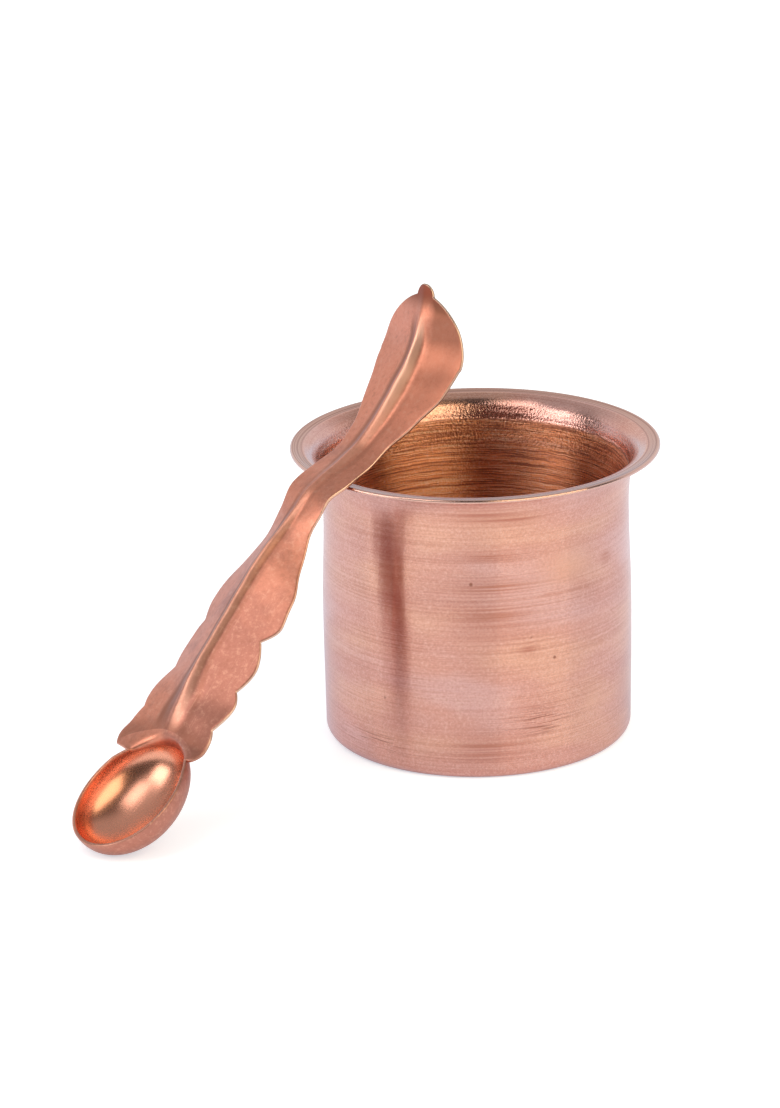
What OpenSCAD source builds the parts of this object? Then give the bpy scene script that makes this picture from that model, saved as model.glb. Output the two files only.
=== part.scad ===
// Spun copper water cup with its stamped offering spoon leaning on the lip.
// Millimetres, +Z up, origin at the centre of the cup's flat bottom.

/* [Cup] */
// Height from the table to the top of the lip
cup_height = 62; // [52:0.5:74]
// Diameter over the lip
lip_diameter = 76; // [72:0.5:90]
// Width of the flat band at the edge of the lip
lip_width = 2.2; // [1:0.1:3]
// Upward slope of the lip band, in degrees
lip_slope = 8; // [0:1:20]
// Height of the flare, from the neck up to the lip band
flare_height = 12; // [8:0.5:16]
// Outside diameter at the neck, just below the flare
neck_diameter = 63; // [56:0.2:65]
// Outside diameter where the wall is widest
belly_diameter = 64; // [57:0.2:67]
// Height of the widest place above the table
belly_height = 28; // [15:1:34]
// Outside diameter just above the bottom curve
foot_diameter = 63.8; // [56:0.2:66]
// Outside radius of the curve between the bottom and the wall
foot_radius = 2.2; // [1.6:0.1:8]
// Thickness of the cup's copper sheet
cup_sheet = 0.8; // [0.5:0.05:1.2]

/* [Spoon bowl] */
// Outside length of the bowl, nose to heel
bowl_length = 28.4; // [22:0.2:34]
// Outside width of the bowl
bowl_width = 23.4; // [18:0.2:27]
// Outside depth of the bowl, below its rim
bowl_depth = 9.6; // [7:0.2:13]
// How much narrower the heel half of the bowl is than the nose half, as a share
bowl_egg = 0.06; // [0:0.01:0.15]
// Angle by which the bowl is set askew to the handle, in degrees
bowl_turn = 10.5; // [0:0.5:15]
// Distance by which the bowl is set to one side of the handle's middle
bowl_shift = 0.8; // [0:0.1:1.5]
// Thickness of the spoon's copper sheet
spoon_sheet = 0.7; // [0.5:0.05:1]

/* [Spoon handle] */
// Straight stem, from above the bowl to the bend below the lip
stem_length = 47; // [40:1:56]
// Angle at which the stem rises from the plane of the bowl's rim, in degrees
stem_rise = 14.5; // [6:0.5:18]
// Angle by which the handle bends forward at the lip, in degrees
bend_angle = 16; // [8:1:24]
// Straight stretch after the bend, which lies across the lip
bridge_length = 21; // [16:1:28]
// Angle by which the leaf at the end curls up, in degrees
leaf_curl = 57; // [30:1:70]
// Length of the curled leaf
leaf_length = 29; // [26:1:40]
// Length of the round end of the leaf, from its widest place
leaf_round = 12.4; // [9:0.2:15]
// Half of the leaf's width
leaf_half_width = 11.8; // [9:0.1:14]
// Half of the handle's width at the two corners beside the bowl
corner_half_width = 11; // [9:0.1:13]
// Half of the handle's width at the last of the three notches
notch_half_width = 8.8; // [7:0.1:11]
// Distance from the heel of the bowl to the first notch
first_notch = 6; // [4:0.1:7]
// Distance from the heel to the second notch
second_notch = 14.4; // [11:0.1:17]
// Distance from the heel to the third notch
third_notch = 25.5; // [21:0.5:29]
// How far the lobes between the notches swell out
scallop_depth = 1.5; // [0.4:0.1:2.4]
// Half of the handle's width at the long lobe above the notches
lobe_half_width = 10.9; // [8:0.1:13]
// Distance from the last notch to the widest place of the long lobe
lobe_rise = 4.6; // [3:0.2:8]
// Half of the handle's width at its narrowest place, below the bend
neck_half_width = 5.6; // [4:0.1:7]
// Half of the width where the handle swells on the lip
swell_half_width = 6.5; // [5:0.1:8]
// Half of the width of the round nub at the tip
nub_half_width = 1.8; // [1.2:0.1:2.6]
// Length of the nub
nub_length = 2.4; // [1.8:0.1:4]
// Height of the crest above the two edges along the stem
stem_roof = 5.1; // [3:0.1:6]
// Height of the crest above the edges where the handle lies on the lip
lip_roof = 0.8; // [0.4:0.1:1.6]
// Height of the crest above the edges on the leaf
leaf_roof = 3.1; // [1.5:0.1:4]
// How far the crest arches up along the stem
stem_arch = 2.1; // [0:0.1:3]
// How far the crest arches up along the leaf
leaf_arch = 1.6; // [0:0.1:2.5]
// How far the crest dips between the lip and the leaf
waist_dip = 1.2; // [0:0.1:1.8]
// Height of the pressed rib along the stem
rib_height = 0.45; // [0.2:0.05:0.6]
// Half of the width of the rib along the stem
rib_half_width = 1.2; // [1.1:0.1:1.8]
// Height of the rib on the leaf
leaf_rib_height = 1.5; // [0.6:0.1:2]
// Half of the width of the rib on the leaf
leaf_rib_half_width = 2.4; // [1.8:0.1:3]

/* [Spoon at rest] */
// Direction that the handle points in, seen from above, in degrees from +X
heading = 41; // [0:1:359]
// Distance by which the spoon's middle plane misses the cup's axis
side_offset = 1.3; // [-10:0.1:10]
// Distance from the bend to the place that lies on the lip
seat_distance = 10; // [7:0.5:13]
// Upright gap between the lip and the underside of the handle
seat_gap = 0.4; // [0.3:0.05:1]

/* [Hidden] */
cup_copper = "#c98f7c";
spoon_copper = "#c07a5f";
$fn = 96;

// The cup's wall is a path through the middle of the sheet. A point is [radius, height, tangent angle].
lip_radius = lip_diameter / 2;
half_sheet = cup_sheet / 2;
neck_mid = neck_diameter / 2 - half_sheet;
belly_mid = belly_diameter / 2 - half_sheet;
foot_mid = foot_diameter / 2 - half_sheet;
foot_curve = foot_radius - half_sheet;
lip_end = [lip_radius - half_sheet, cup_height - half_sheet];
lip_start = lip_end - lip_width * [cos(lip_slope), sin(lip_slope)];
neck_height = lip_start[1] - flare_height;
foot_steps = 8;
wall_steps = 8;
flare_steps = 14;
edge_steps = 6;

// Quarter circle from the flat bottom up to the wall.
foot_path = [for (i = [0:foot_steps])
    let(a = 90 * i / foot_steps)
    [foot_mid - foot_curve + foot_curve * sin(a), half_sheet + foot_curve - foot_curve * cos(a), a]];

// Wall between two heights: half a cosine wave, upright at both ends.
function wall_path(r0, z0, r1, z1) = [for (i = [1:wall_steps])
    let(u = i / wall_steps)
    [r0 + (r1 - r0) * (1 - cos(180 * u)) / 2, z0 + (z1 - z0) * u,
        atan2(z1 - z0, (r1 - r0) * PI / 2 * sin(180 * u))]];

// Flare: a quadratic curve that leaves the neck upright and meets the lip band at the band's own slope.
flare_path =
    let(p0 = [neck_mid, neck_height], p2 = lip_start,
        p1 = [neck_mid, p2[1] - (p2[0] - neck_mid) * tan(lip_slope)])
    [for (i = [1:flare_steps])
        let(u = i / flare_steps,
            p = p0 * (1 - u) * (1 - u) + p1 * 2 * u * (1 - u) + p2 * u * u,
            d = (p1 - p0) * (1 - u) + (p2 - p1) * u)
        [p[0], p[1], atan2(d[1], d[0])]];

cup_path = concat(
    [[0, half_sheet, 0]],
    foot_path,
    wall_path(foot_mid, half_sheet + foot_curve, belly_mid, belly_height),
    wall_path(belly_mid, belly_height, neck_mid, neck_height),
    flare_path,
    [[lip_end[0], lip_end[1], lip_slope]]);

// The path moved sideways by d: to the inside of the cup where d is positive.
function beside(path, d) = [for (p = path) [p[0] - d * sin(p[2]), p[1] + d * cos(p[2])]];

function reversed(list) = [for (i = [len(list) - 1:-1:0]) list[i]];

// Half-round edge that closes the lip, from its underside to its top.
lip_edge = [for (i = [1:edge_steps - 1])
    let(a = lip_slope - 90 + 180 * i / edge_steps)
    lip_end + half_sheet * [cos(a), sin(a)]];

module water_cup() {
    color(cup_copper)
        rotate_extrude()
            polygon(concat(
                beside(cup_path, -half_sheet),
                lip_edge,
                reversed(beside(cup_path, half_sheet))));
}

// The spoon in its own frame: the bowl's rim lies in z = 0, x = 0 is the heel of the bowl,
// and +X runs up the handle.
bowl_a = bowl_length / 2 - spoon_sheet;
bowl_b = bowl_width / 2 - spoon_sheet;
bowl_c = bowl_depth - spoon_sheet;
bowl_rings = 9;
bowl_segments = 64;
heel_segments = bowl_segments / 8;
heel_angle = 360 * heel_segments / bowl_segments;
columns = 2 * heel_segments;

// Spine of the handle, heel to tip: [length, turn in degrees] of each arc.
// The heel lifts the handle out of the bowl.
heel_bend = 1;
heel_rise = 3;
heel_settle = 3;
heel_lift = 21;
bend_length = 5;
spine = [
    [heel_bend, heel_lift],
    [heel_rise, 0],
    [heel_settle, stem_rise - heel_lift],
    [stem_length, 0],
    [bend_length, -bend_angle],
    [bridge_length, 0],
    [leaf_length, leaf_curl]];
bend_start = heel_bend + heel_rise + heel_settle + stem_length;
leaf_start = bend_start + bend_length + bridge_length;
handle_length = leaf_start + leaf_length;

// Place on the spine at distance s: [x, z, slope]. Behind the heel the spine runs on level.
function along(s, i = 0, x = 0, z = 0, slope = 0) =
    let(length = spine[i][0], d = min(s, length), turn = s < 0 ? 0 : spine[i][1] * d / length,
        r = turn == 0 ? 0 : d / (turn * PI / 180),
        x1 = turn == 0 ? x + d * cos(slope) : x + r * (sin(slope + turn) - sin(slope)),
        z1 = turn == 0 ? z + d * sin(slope) : z - r * (cos(slope + turn) - cos(slope)))
    s <= length || i == len(spine) - 1
        ? [x1, z1, slope + turn]
        : along(s - length, i + 1, x1, z1, slope + turn);

// Eased value between places that are flat: half a cosine wave from one [distance, value] to the next.
function eased(list, s, i = 0) =
    s <= list[0][0] ? list[0][1] :
    i == len(list) - 1 ? list[i][1] :
    s > list[i + 1][0] ? eased(list, s, i + 1) :
    let(u = (s - list[i][0]) / (list[i + 1][0] - list[i][0]))
    list[i][1] + (list[i + 1][1] - list[i][1]) * (1 - cos(180 * u)) / 2;

// Outline of the handle. Three scallops with sharp notches follow the corners, then one long lobe,
// the neck, the swelling that lies on the lip, and the leaf.
notches = [0, first_notch, second_notch, third_notch];
lobe_place = third_notch + lobe_rise;
neck_before_bend = 3.5;
waist_after_seat = 7;
neck_place = bend_start - neck_before_bend;
seat_place = bend_start + seat_distance;
waist_place = seat_place + waist_after_seat;
waist_half_width = (neck_half_width + swell_half_width) / 2;
leaf_tip = handle_length - nub_length;
leaf_widest = leaf_tip - leaf_round;
outline = [
    [0, corner_half_width],
    [lobe_place, lobe_half_width],
    [neck_place, neck_half_width],
    [seat_place, swell_half_width],
    [waist_place, waist_half_width],
    [leaf_widest, leaf_half_width]];

// Half width along the scallops: a straight line through the notches, with a round lobe between
// each two. The corner beside the bowl is eased off over corner_ease.
corner_ease = 2;
corner_cut = 1.2;
full_scallop = 9;
function scallop(s, i = 0) =
    s > notches[i + 1] ? scallop(s, i + 1) :
    let(pitch = notches[i + 1] - notches[i], u = (s - notches[i]) / pitch)
    corner_half_width + (notch_half_width - corner_half_width) * s / third_notch
        + scallop_depth * min(1, pitch / full_scallop) * 4 * u * (1 - u)
        - corner_cut * pow(max(0, 1 - s / corner_ease), 2);

// Half of a round end: full at its start, zero at its end.
function round_end(s, start, length) = sqrt(max(0, 1 - pow((s - start) / length, 2)));

// Quarter wave from the last notch up to the widest place of the long lobe.
function lobe(s) =
    notch_half_width + (lobe_half_width - notch_half_width) * sin(90 * (s - third_notch) / lobe_rise);

tip_edge = 0.05;
nub_start = handle_length - nub_half_width;
function half_width(s) =
    s < third_notch ? scallop(s) :
    s < lobe_place ? lobe(s) :
    s < leaf_widest ? eased(outline, s) :
    max(leaf_half_width * round_end(s, leaf_widest, leaf_round),
        nub_half_width * round_end(max(s, nub_start), nub_start, nub_half_width + tip_edge));

// Places along the handle where its cross section changes. It is flattest where it lies on the lip.
roof_full = 18;
roof_to_bend = 16;
rib_full = 14;
rib_to_bend = 8;
leaf_full = 9;
roof_end = bend_start - roof_to_bend;
rib_end = bend_start - rib_to_bend;
flat_place = bend_start + seat_distance / 2;
leaf_place = leaf_start + leaf_full;

// Height of the crest above the edges of the outline.
heel_roof = 0.6;
waist_roof = 1.6;
tip_roof = 2.8;
roof_line = [
    [0, heel_roof],
    [roof_full, stem_roof],
    [roof_end, stem_roof],
    [flat_place, lip_roof],
    [waist_place, waist_roof],
    [leaf_place, leaf_roof],
    [handle_length, tip_roof]];

// Height of the crest above the spine.
heel_arch = 0.2;
tip_arch = 1;
crest_line = [
    [0, heel_arch],
    [roof_full, stem_arch],
    [roof_end, stem_arch],
    [bend_start + bend_length / 2, 0],
    [waist_place, -waist_dip],
    [leaf_place, leaf_arch],
    [leaf_widest + leaf_round / 2, leaf_arch],
    [handle_length, tip_arch]];

// Height and half width of the rib.
heel_rib = 0.1;
lip_rib = 0.2;
nub_rib = 0.9;
rib_line = [
    [0, heel_rib],
    [rib_full, rib_height],
    [rib_end, rib_height],
    [flat_place, lip_rib],
    [leaf_place, leaf_rib_height],
    [leaf_tip, leaf_rib_height],
    [handle_length, nub_rib]];
nub_rib_half_width = 1.2;
rib_width_line = [
    [flat_place, rib_half_width],
    [leaf_place, leaf_rib_half_width],
    [handle_length, nub_rib_half_width]];

// Sideways distance y, eased at the middle: the two blades of the roof meet in a rounded fold.
fold_inside_radius = 0.5;
fold_radius = fold_inside_radius + spoon_sheet;
function off_fold(y) = sqrt(y * y + fold_radius * fold_radius) - fold_radius;

// How far the top lies below the spine at distance s, v from -1 at one edge to 1 at the other.
// Two sloping blades fall away from the crest, and the rib stands on the fold between them.
function drop(s, v) =
    let(y = v * half_width(s), rib = eased(rib_line, s),
        slope = (eased(roof_line, s) - rib) / off_fold(eased(outline, s)))
    slope * off_fold(y) + rib * (1 - exp(-pow(y / eased(rib_width_line, s), 2))) - eased(crest_line, s);

// Near the bowl a row of the handle follows the round heel of the bowl, and further up it runs
// straight across.
heel_fade = 14;
heel_round = bowl_a * (1 - cos(heel_angle));
heel_skew = bowl_b * sin(heel_angle) * sin(bowl_turn);
function lag(s, v) =
    pow(max(0, 1 - s / heel_fade), 2)
        * (heel_round * (1 - cos(heel_angle * v)) / (1 - cos(heel_angle)) + heel_skew * v);

// Top of the handle.
function handle_top(s, v) =
    let(p = along(s - lag(s, v)), d = drop(s, v))
    [p[0] + d * sin(p[2]), v * half_width(s), p[1] - d * cos(p[2])];

// Unit normal of the top, from two short differences.
probe = 0.02;
function unit(a) = a / norm(a);
function handle_normal(s, v) =
    let(s0 = max(probe / 2, s - probe), s1 = min(handle_length - probe / 2, s + probe),
        v0 = max(-1, v - probe), v1 = min(1, v + probe))
    unit(cross(handle_top(s1, v) - handle_top(s0, v), handle_top(s, v1) - handle_top(s, v0)));

// Columns lie closer together over the rib, and the first rows closer together at the corners.
crowding = 1.4;
function column_v(c) = let(u = (c - heel_segments) / heel_segments) sign(u) * pow(abs(u), crowding);

// Rows of the handle, with a row on each notch. They close up towards the tip.
corner_rows = 6;
lobe_rows = 6;
stem_rows = 34;
leaf_rows = 12;
nub_rows = 4;
row_places = concat(
    [for (i = [1:corner_rows]) first_notch * pow(i / corner_rows, crowding)],
    [for (n = [1, 2]) for (i = [1:lobe_rows]) notches[n] + (notches[n + 1] - notches[n]) * i / lobe_rows],
    [for (i = [1:stem_rows]) third_notch + (leaf_widest - third_notch) * i / stem_rows],
    [for (i = [1:leaf_rows]) leaf_widest + leaf_round * sin(90 * i / leaf_rows)],
    [for (i = [1:nub_rows]) leaf_tip + nub_length * sin(90 * i / nub_rows)]);

// Inside of the bowl: half an ellipsoid, a little narrower at the heel, set askew to the handle.
function askew(p) =
    let(c = cos(bowl_turn), s = sin(bowl_turn))
    [p[0] * c - p[1] * s, p[0] * s + p[1] * c, p[2]];
function bowl_in(k, j) =
    let(t = 90 * k / bowl_rings, a = 360 * j / bowl_segments, egg = 1 - bowl_egg * cos(a))
    askew([bowl_a * (sin(t) * cos(a) - 1), bowl_b * sin(t) * sin(a) * egg, -bowl_c * cos(t)])
        - [0, bowl_shift, 0];
function bowl_normal(k, j) =
    let(t = 90 * k / bowl_rings, a = 360 * j / bowl_segments)
    askew(unit([sin(t) * cos(a) / bowl_a, sin(t) * sin(a) / bowl_b, -cos(t) / bowl_c]));

// Outside of the bowl, one sheet further out. On the heel it lies below the handle's underside as well.
function on_heel(k, j) = k == bowl_rings && (j <= heel_segments || j >= bowl_segments - heel_segments);
function bowl_out(k, j) =
    bowl_in(k, j) + spoon_sheet * bowl_normal(k, j) - (on_heel(k, j) ? [0, 0, spoon_sheet] : [0, 0, 0]);

top_points = concat(
    [bowl_in(0, 0)],
    [for (k = [1:bowl_rings]) for (j = [0:bowl_segments - 1]) bowl_in(k, j)],
    [for (s = row_places) for (c = [0:columns]) handle_top(s, column_v(c))]);
under_points = concat(
    [bowl_out(0, 0)],
    [for (k = [1:bowl_rings]) for (j = [0:bowl_segments - 1]) bowl_out(k, j)],
    [for (s = row_places) for (c = [0:columns])
        handle_top(s, column_v(c)) - spoon_sheet * handle_normal(s, column_v(c))]);

// Number of a point. Row 0 of the handle is the heel of the bowl's rim.
rows = len(row_places);
side = len(top_points);
function ring_id(k, j) = 1 + (k - 1) * bowl_segments + j % bowl_segments;
function row_id(i, c) = i == 0
    ? ring_id(bowl_rings, c - heel_segments + bowl_segments)
    : 1 + bowl_rings * bowl_segments + (i - 1) * (columns + 1) + c;

function quad(a, b, c, d) = [[a, b, c], [a, c, d]];
function joined(lists) = [for (l = lists) for (x = l) x];
top_faces = concat(
    [for (j = [0:bowl_segments - 1]) [0, ring_id(1, j + 1), ring_id(1, j)]],
    joined([for (k = [1:bowl_rings - 1]) for (j = [0:bowl_segments - 1])
        quad(ring_id(k, j), ring_id(k, j + 1), ring_id(k + 1, j + 1), ring_id(k + 1, j))]),
    joined([for (i = [0:rows - 1]) for (c = [0:columns - 1])
        quad(row_id(i, c), row_id(i, c + 1), row_id(i + 1, c + 1), row_id(i + 1, c))]));

// Edge of the sheet: once round the free rim of the bowl and the handle.
edge_loop = concat(
    [for (j = [heel_segments:bowl_segments - heel_segments]) ring_id(bowl_rings, j)],
    [for (i = [1:rows]) row_id(i, 0)],
    [for (c = [1:columns]) row_id(rows, c)],
    [for (i = [rows - 1:-1:1]) row_id(i, columns)]);
edge_faces = joined([for (i = [0:len(edge_loop) - 1])
    let(a = edge_loop[i], b = edge_loop[(i + 1) % len(edge_loop)])
    quad(a, b, b + side, a + side)]);
under_faces = [for (f = top_faces) [f[2] + side, f[1] + side, f[0] + side]];
spoon_faces = concat(top_faces, under_faces, edge_faces);

// The spoon leans until its bowl stands on the table and its seat lies on the lip.
function leaned(p, lean) =
    let(c = cos(lean), s = sin(lean))
    [p[0] * c - p[2] * s, p[1], p[0] * s + p[2] * c];
function lift_at(lean) = -min([for (p = under_points) leaned(p, lean)[2]]);

// Distance from the cup's axis back to the heel, with the seat above the edge of the lip.
seat = along(seat_place);
function reach_at(lean) =
    sqrt(lip_radius * lip_radius - side_offset * side_offset) + leaned([seat[0], 0, seat[1]], lean)[0];

// Height above the heel at which one column of the underside crosses the edge of the lip.
nowhere = 1000;
function plan_radius(p, reach) = norm([p[0] - reach, p[1] + side_offset]);
function crossing(c, lean, reach, i = 1) =
    i >= rows ? nowhere :
    let(p = leaned(under_points[row_id(i, c)], lean), q = leaned(under_points[row_id(i + 1, c)], lean),
        rp = plan_radius(p, reach), rq = plan_radius(q, reach))
    rp > lip_radius && rq <= lip_radius
        ? p[2] + (q[2] - p[2]) * (rp - lip_radius) / (rp - rq)
        : crossing(c, lean, reach, i + 1);
function clearance(lean) =
    min([for (c = [0:columns]) crossing(c, lean, reach_at(lean))]) + lift_at(lean) - cup_height;

// Halves the interval of angles until the clearance at the lip is the stated gap.
function seated(low, high, n) =
    let(mid = (low + high) / 2)
    n == 0 ? mid : clearance(mid) < seat_gap ? seated(mid, high, n - 1) : seated(low, mid, n - 1);
least_lean = 5;
most_lean = 75;
halvings = 16;
lean = seated(least_lean, most_lean, halvings);

module offering_spoon() {
    color(spoon_copper)
        rotate([0, 0, heading])
            translate([-reach_at(lean), side_offset, lift_at(lean)])
                rotate([0, -lean, 0])
                    polyhedron(concat(top_points, under_points), spoon_faces);
}

water_cup();
offering_spoon();
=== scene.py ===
"""Dresses a spun copper water cup and the stamped offering spoon that leans on its lip."""

import bpy
import numpy as np
from mathutils import Matrix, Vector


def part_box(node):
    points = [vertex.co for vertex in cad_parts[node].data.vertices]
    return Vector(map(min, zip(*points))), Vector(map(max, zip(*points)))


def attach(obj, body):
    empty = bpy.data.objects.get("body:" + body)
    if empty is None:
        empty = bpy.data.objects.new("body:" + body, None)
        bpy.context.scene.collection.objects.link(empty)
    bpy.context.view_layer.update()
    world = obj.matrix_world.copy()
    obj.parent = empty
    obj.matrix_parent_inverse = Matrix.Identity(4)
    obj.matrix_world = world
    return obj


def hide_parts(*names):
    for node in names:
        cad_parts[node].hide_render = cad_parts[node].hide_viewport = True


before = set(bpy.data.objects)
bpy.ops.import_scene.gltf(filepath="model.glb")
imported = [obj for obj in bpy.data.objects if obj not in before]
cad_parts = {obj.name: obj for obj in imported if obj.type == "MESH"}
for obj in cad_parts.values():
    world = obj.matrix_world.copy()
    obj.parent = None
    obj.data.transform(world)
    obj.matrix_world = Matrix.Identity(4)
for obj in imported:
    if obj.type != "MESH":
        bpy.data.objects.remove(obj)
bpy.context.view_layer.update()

# Water cup
# One disc of copper sheet, spun over a form on a lathe. The satin outside keeps the fine lines of the
# finishing tool, the inside keeps coarser ones, and the flare ends in a narrow band with a round edge.
cup_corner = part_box("water_cup")[1]
cup_height = cup_corner.z
lip_radius = cup_corner.x
cup_sheet = 0.0008
lip_width = 0.0022
lip_slope = np.radians(8)
flare_height = 0.012
neck_radius = 0.0315
belly_radius = 0.032
belly_height = 0.028
foot_radius = 0.0319
foot_curve = 0.0022

# Points in each stretch of the section, and in a ring round the cup.
bottom_points = 16
corner_points = 14
low_wall_points = 60
high_wall_points = 50
flare_points = 44
band_points = 8
lip_edge_points = 10
cup_segments = 224


def eased_wall(low, high, count):
    """Wall between two (radius, height): the height grows evenly, the radius by half a cosine wave."""
    share = np.linspace(0, 1, count)[1:, None]
    sway = (1 - np.cos(np.pi * share)) / 2
    return np.hstack([low[0] + (high[0] - low[0]) * sway, low[1] + (high[1] - low[1]) * share])


def cup_path():
    """Middle line of the sheet, as (radius, height), from the centre of the bottom up to the lip.

    A level line, a quarter circle, two eased walls, a quadratic curve that leaves the neck upright
    and meets the lip band at the band's own slope, and the straight band.
    """
    half = cup_sheet / 2
    curve = foot_curve - half
    foot = np.array([foot_radius - half, half + curve])
    belly = np.array([belly_radius - half, belly_height])
    lip_end = np.array([lip_radius - half, cup_height - half])
    lip_start = lip_end - lip_width * np.array([np.cos(lip_slope), np.sin(lip_slope)])
    neck = np.array([neck_radius - half, lip_start[1] - flare_height])
    knee = np.array([neck[0], lip_start[1] - (lip_start[0] - neck[0]) * np.tan(lip_slope)])
    level = np.linspace([0, half], [foot[0] - curve, half], bottom_points)
    turn = np.linspace(0, np.pi / 2, corner_points)[1:]
    corner = foot + curve * np.column_stack([np.sin(turn) - 1, -np.cos(turn)])
    low_wall = eased_wall(foot, belly, low_wall_points)
    high_wall = eased_wall(belly, neck, high_wall_points)
    share = np.linspace(0, 1, flare_points)[1:, None]
    flare = neck * (1 - share) ** 2 + knee * 2 * share * (1 - share) + lip_start * share ** 2
    band = np.linspace(lip_start, lip_end, band_points)[1:]
    return np.vstack([level, corner, low_wall, high_wall, flare, band])


def beside(path, distance):
    """The path moved along its own normal, towards the inside of the cup where the distance is positive."""
    run = np.gradient(path, axis=0)
    run /= np.linalg.norm(run, axis=1, keepdims=True)
    return path + distance * np.column_stack([-run[:, 1], run[:, 0]])


# Ridges of the spinning tool: how deep they are and how far apart, coarser inside than outside.
inside_ridge = 0.00006
inside_pitches = [0.0017, 0.0026, 0.0041, 0.0073]
outside_ridge = 0.00001
outside_pitches = [0.0019, 0.0031, 0.0052]


def tool_ridges(arc, depth, pitches):
    """Ridges of the spinning tool at a distance along the section: the mean of sines of unlike pitch."""
    phases = np.arange(len(pitches))
    return depth * np.sin(2 * np.pi * arc[:, None] / np.array(pitches) + phases).mean(axis=1)


# Shallow dents in the wall: angle in degrees, height, spread and depth.
cup_dents = [(-112, 0.044, 0.007, 0.00010), (-68, 0.030, 0.008, 0.00012), (-84, 0.013, 0.006, 0.00008),
             (-40, 0.020, 0.009, 0.00012), (25, 0.036, 0.009, 0.00015), (100, 0.022, 0.008, 0.00012),
             (170, 0.040, 0.009, 0.00014), (215, 0.018, 0.007, 0.00010)]
oval_wave = 0.00012
oval_turn = -0.6
third_wave = 0.00005
third_turn = 1.1
steady_height = 0.012


def round_about(angle, degrees):
    """Distance round the belly of the cup from a direction in degrees."""
    return np.angle(np.exp(1j * (angle - np.radians(degrees)))) * belly_radius


def out_of_round(angle, height):
    """How far the wall stands out from a true circle.

    Two and three slow waves go round the cup and grow from the flat bottom upwards, and each dent is a
    bell-shaped hollow.
    """
    grown = 1 - np.exp(-(height / steady_height) ** 2)
    out = grown * (oval_wave * np.cos(2 * angle + oval_turn) + third_wave * np.cos(3 * angle + third_turn))
    for degrees, middle, spread, depth in cup_dents:
        aside = round_about(angle, degrees)
        out = out - depth * np.exp(-(aside ** 2 + (height - middle) ** 2) / spread ** 2)
    return out


# Marks on the outside, each as angle in degrees, height, half length round the wall and half height.
rose_marks = [(-88, 0.0566, 0.0070, 0.0022), (-74, 0.0552, 0.0050, 0.0014), (-84, 0.0346, 0.0080, 0.0040),
              (-84, 0.0414, 0.0090, 0.0016), (-86, 0.0478, 0.0060, 0.0012), (-87, 0.0066, 0.0070, 0.0030),
              (-34, 0.0430, 0.0016, 0.0016), (-71, 0.0275, 0.0018, 0.0012), (40, 0.0300, 0.0080, 0.0040),
              (118, 0.0480, 0.0070, 0.0030), (165, 0.0150, 0.0090, 0.0030)]
scratch_marks = [(-66, 0.0116, 0.0065, 0.0026), (-134, 0.0058, 0.0080, 0.0018), (70, 0.0180, 0.0070, 0.0024),
                 (150, 0.0340, 0.0060, 0.0030)]
stain_marks = [(-43, 0.0132, 0.0024, 0.0016), (-52, 0.0440, 0.0060, 0.0040), (95, 0.0100, 0.0040, 0.0020)]


def marked(marks, points):
    """Strength of the marks at the points: 1 at each middle, fading as a bell over its length and height."""
    angle = np.arctan2(points[:, 1], points[:, 0])
    total = 0
    for degrees, height, half_length, half_height in marks:
        aside = round_about(angle, degrees)
        total = total + np.exp(-(aside / half_length) ** 2 - ((points[:, 2] - height) / half_height) ** 2)
    return total


def cup_surface():
    """Points, faces and finish of the closed cup.

    The section runs from the bottom's centre up the outside, round the lip by half a circle and down the
    inside. It is carried round the axis, and a fan of triangles closes each end at the axis.
    """
    path = cup_path()
    half = cup_sheet / 2
    outside, inside = beside(path, -half), beside(path, half)[::-1]
    sweep = np.linspace(lip_slope - np.pi / 2, lip_slope + np.pi / 2, lip_edge_points)[1:-1]
    edge = path[-1] + half * np.column_stack([np.cos(sweep), np.sin(sweep)])
    section = np.vstack([outside, edge, inside])
    arc = np.r_[0, np.cumsum(np.linalg.norm(np.diff(section, axis=0), axis=1))]
    is_inside = np.arange(len(section)) >= len(outside) + len(edge)
    run = np.gradient(section, axis=0)
    run /= np.linalg.norm(run, axis=1, keepdims=True)
    ridge = np.where(is_inside, tool_ridges(arc, inside_ridge, inside_pitches),
                     tool_ridges(arc, outside_ridge, outside_pitches))
    ridge *= 1 - np.exp(-(section[:, 1] / foot_curve) ** 2)
    section = section + ridge[:, None] * np.column_stack([run[:, 1], -run[:, 0]])
    rings = section[1:-1]
    angle = np.linspace(0, 2 * np.pi, cup_segments, endpoint=False)
    radius = rings[:, :1] + out_of_round(angle[None, :], rings[:, 1:])
    height = np.broadcast_to(rings[:, 1:], radius.shape)
    wall = np.stack([radius * np.cos(angle), radius * np.sin(angle), height], axis=-1).reshape(-1, 3)
    points = np.vstack([wall, [0, 0, section[0, 1]], [0, 0, section[-1, 1]]])
    ids = np.arange(len(wall)).reshape(radius.shape)
    ahead = np.roll(ids, -1, axis=1)
    quads = np.stack([ids[:-1], ahead[:-1], ahead[1:], ids[1:]], axis=-1).reshape(-1, 4)
    low_fan = np.column_stack([ahead[0], ids[0], np.full(cup_segments, len(wall))])
    high_fan = np.column_stack([ids[-1], ahead[-1], np.full(cup_segments, len(wall) + 1)])
    inner = np.r_[np.repeat(is_inside[1:-1], cup_segments), False, True]
    finish = {"turning": np.r_[np.repeat(arc[1:-1], cup_segments), arc[0], arc[-1]],
              "inside": inner,
              "lip": np.hypot(points[:, 0], points[:, 1]) > lip_radius - lip_width}
    for label, marks in {"rose": rose_marks, "scratched": scratch_marks, "stained": stain_marks}.items():
        finish[label] = marked(marks, points) * ~inner
    return points, quads.tolist() + low_fan.tolist() + high_fan.tolist(), finish


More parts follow.
